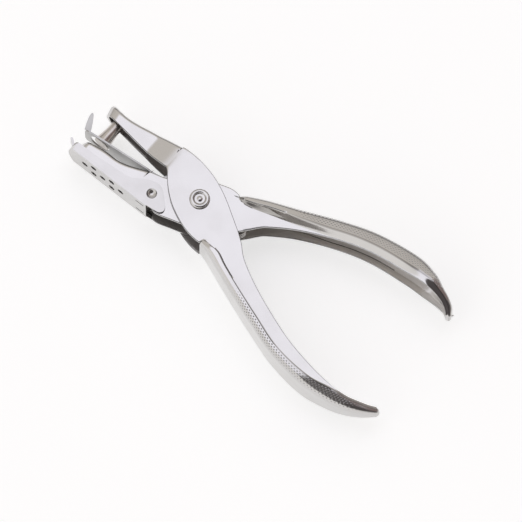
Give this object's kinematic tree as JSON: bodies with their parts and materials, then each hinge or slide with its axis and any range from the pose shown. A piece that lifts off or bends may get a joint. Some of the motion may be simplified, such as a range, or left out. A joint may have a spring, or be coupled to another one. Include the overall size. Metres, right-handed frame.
{
  "type": "plier hole punch",
  "caption": "Plier hole punch of plated sheet steel: two stamped levers crossed on a rivet, a waisted punch, a spring stripper and a hinged chip catcher.",
  "frame": {"origin": "the middle of the tool's footprint on the table that the flat flanks of both grips rest on; the pivot rivet's axis stands 22.65 mm from it towards the jaws", "axes": "+Z along the rivet, up from the table; -X towards the jaws and +X towards the grips; +Y towards the jaw that carries the punch"},
  "size_m": [0.1436, 0.0608, 0.0164],
  "materials": {
    "plated_sheet": "bright nickel plate over smooth sheet steel, rows of small raised dots on the backs of the grips",
    "tool_steel": "turned and ground steel",
    "plated_rivet": "bright nickel plate over an upset head",
    "spring_sheet": "satin spring sheet",
    "spring_wire": "drawn spring wire"
  },
  "bodies": {
    "punch_side": {"punch_lever": "plated_sheet", "punch_pin": "tool_steel", "pivot_rivet": "plated_rivet", "torsion_spring": "spring_wire"},
    "die_side": {"die_lever": "plated_sheet", "stripper": "spring_sheet", "pivot_sleeve": "tool_steel"},
    "catcher": {"chip_catcher": "plated_sheet"}
  },
  "joints": [
    {"name": "lever_pivot", "type": "hinge", "parent": "punch_side", "child": "die_side", "pos_m": [-0.02265, -0.00105, 0.0082], "axis": [0, 0, -1], "range_deg": [0, 6.5], "stiffness_Nm_per_rad": 0.5, "springref_deg": -8.59, "deforming": ["torsion_spring"]},
    {"name": "catcher_hinge", "type": "hinge", "parent": "die_side", "child": "catcher", "pos_m": [-0.03665, -0.00965, 0.0082], "axis": [0, 0, 1], "range_deg": [0, 20]}
  ]
}
